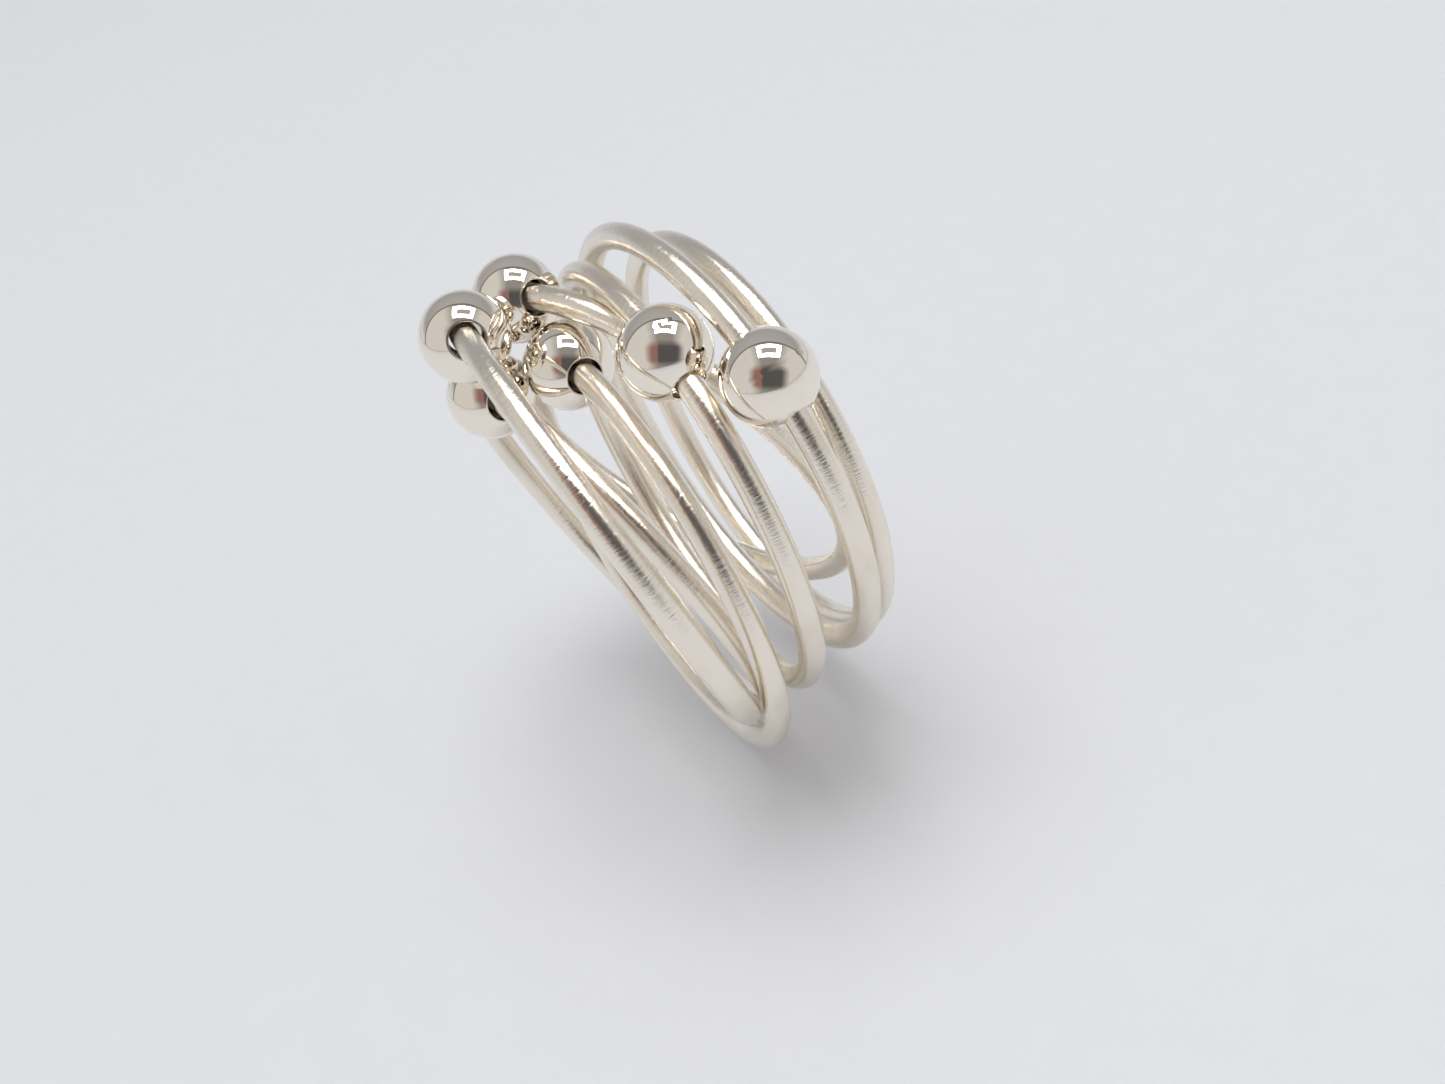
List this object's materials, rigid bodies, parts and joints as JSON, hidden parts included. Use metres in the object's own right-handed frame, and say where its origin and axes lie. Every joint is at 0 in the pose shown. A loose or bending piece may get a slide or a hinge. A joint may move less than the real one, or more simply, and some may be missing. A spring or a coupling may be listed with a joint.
{
  "type": "multi-hoop bead ring",
  "caption": "Finger ring of loose interlaced round-wire hoops of one size, each threaded through a hollow drilled ball bead that slides along its wire.",
  "frame": {"origin": "middle of the finger hole: the mean of the hoops' centres", "axes": "+X along the finger, out of the side with the largest step between hoops; +Z to the top, where the hoops fan apart and carry their beads; +Y to the back"},
  "size_m": [0.0136, 0.0259, 0.0248],
  "materials": {
    "wire": "polished silver with fine rub marks",
    "bead": "mirror-polished silver"
  },
  "bodies": {
    "hoop_1": {"wire_hoop_1": "wire"},
    "bead_1": {"ball_bead_1": "bead"},
    "hoop_2": {"wire_hoop_2": "wire"},
    "bead_2": {"ball_bead_2": "bead"},
    "hoop_3": {"wire_hoop_3": "wire"},
    "bead_3": {"ball_bead_3": "bead"},
    "hoop_4": {"wire_hoop_4": "wire"},
    "bead_4": {"ball_bead_4": "bead"},
    "hoop_5": {"wire_hoop_5": "wire"},
    "bead_5": {"ball_bead_5": "bead"},
    "hoop_6": {"wire_hoop_6": "wire"},
    "bead_6": {"ball_bead_6": "bead"},
    "hoop_7": {"wire_hoop_7": "wire"},
    "bead_7": {"ball_bead_7": "bead"}
  },
  "joints": [
    {"name": "hoop_rock_1", "type": "hinge", "parent": "hoop_3", "child": "hoop_1", "pos_m": [-0.00013, -0.00316, -0.0106], "axis": [0.009, 0.8747, -0.4846], "range_deg": [-5, 0]},
    {"name": "bead_slide_1", "type": "hinge", "parent": "hoop_1", "child": "bead_1", "pos_m": [-0.0028, 0.00135, -0.0025], "axis": [0.9609, 0.1265, 0.2462], "range_deg": [-1, 0]},
    {"name": "hoop_rock_2", "type": "hinge", "parent": "hoop_3", "child": "hoop_2", "pos_m": [-0.00203, 0.00643, -0.00882], "axis": [-0.0678, 0.7043, 0.7067], "range_deg": [0, 1]},
    {"name": "bead_slide_2", "type": "hinge", "parent": "hoop_2", "child": "bead_2", "pos_m": [-0.00185, -0.0004, -0.002], "axis": [0.9975, 0.061, 0.0349], "range_deg": [-1, 2]},
    {"name": "bead_slide_3", "type": "hinge", "parent": "hoop_3", "child": "bead_3", "pos_m": [0.00035, -0.00135, 0.00095], "axis": [0.9989, 0.0262, 0.0393], "range_deg": [-1, 1]},
    {"name": "hoop_rock_4", "type": "hinge", "parent": "hoop_3", "child": "hoop_4", "pos_m": [0.00217, 0.0028, -0.0061], "axis": [-0.1091, 0.8595, 0.4993], "range_deg": [-0.5, 6]},
    {"name": "bead_slide_4", "type": "hinge", "parent": "hoop_4", "child": "bead_4", "pos_m": [0.0022, -0.00205, 0.00225], "axis": [0.994, 0.0957, 0.0523], "range_deg": [-2, 36]},
    {"name": "hoop_rock_5", "type": "hinge", "parent": "hoop_3", "child": "hoop_5", "pos_m": [0.00566, -0.00747, -0.001], "axis": [0.013, 0.001, -0.9999], "range_deg": [-4.5, 8]},
    {"name": "bead_slide_5", "type": "hinge", "parent": "hoop_5", "child": "bead_5", "pos_m": [0.0049, 0.00215, -0.001], "axis": [0.9968, 0.0785, 0.0131], "range_deg": [-18, 32]},
    {"name": "hoop_rock_6", "type": "hinge", "parent": "hoop_3", "child": "hoop_6", "pos_m": [-0.00081, -0.00083, 0.00962], "axis": [0.4548, -0.8559, -0.2462], "range_deg": [-0.5, 4]},
    {"name": "bead_slide_6", "type": "hinge", "parent": "hoop_6", "child": "bead_6", "pos_m": [0.00085, 0.0026, 0.00075], "axis": [0.8738, 0.3754, 0.309], "range_deg": [-2, 0]},
    {"name": "hoop_rock_7", "type": "hinge", "parent": "hoop_3", "child": "hoop_7", "pos_m": [-0.00381, 0.00699, 0.00393], "axis": [-0.2325, -0.2489, 0.9402], "range_deg": [-6, 0]},
    {"name": "bead_slide_7", "type": "hinge", "parent": "hoop_7", "child": "bead_7", "pos_m": [-0.00365, -0.00235, 0.0015], "axis": [0.9725, -0.0425, 0.2292], "range_deg": [-1, 36]}
  ]
}
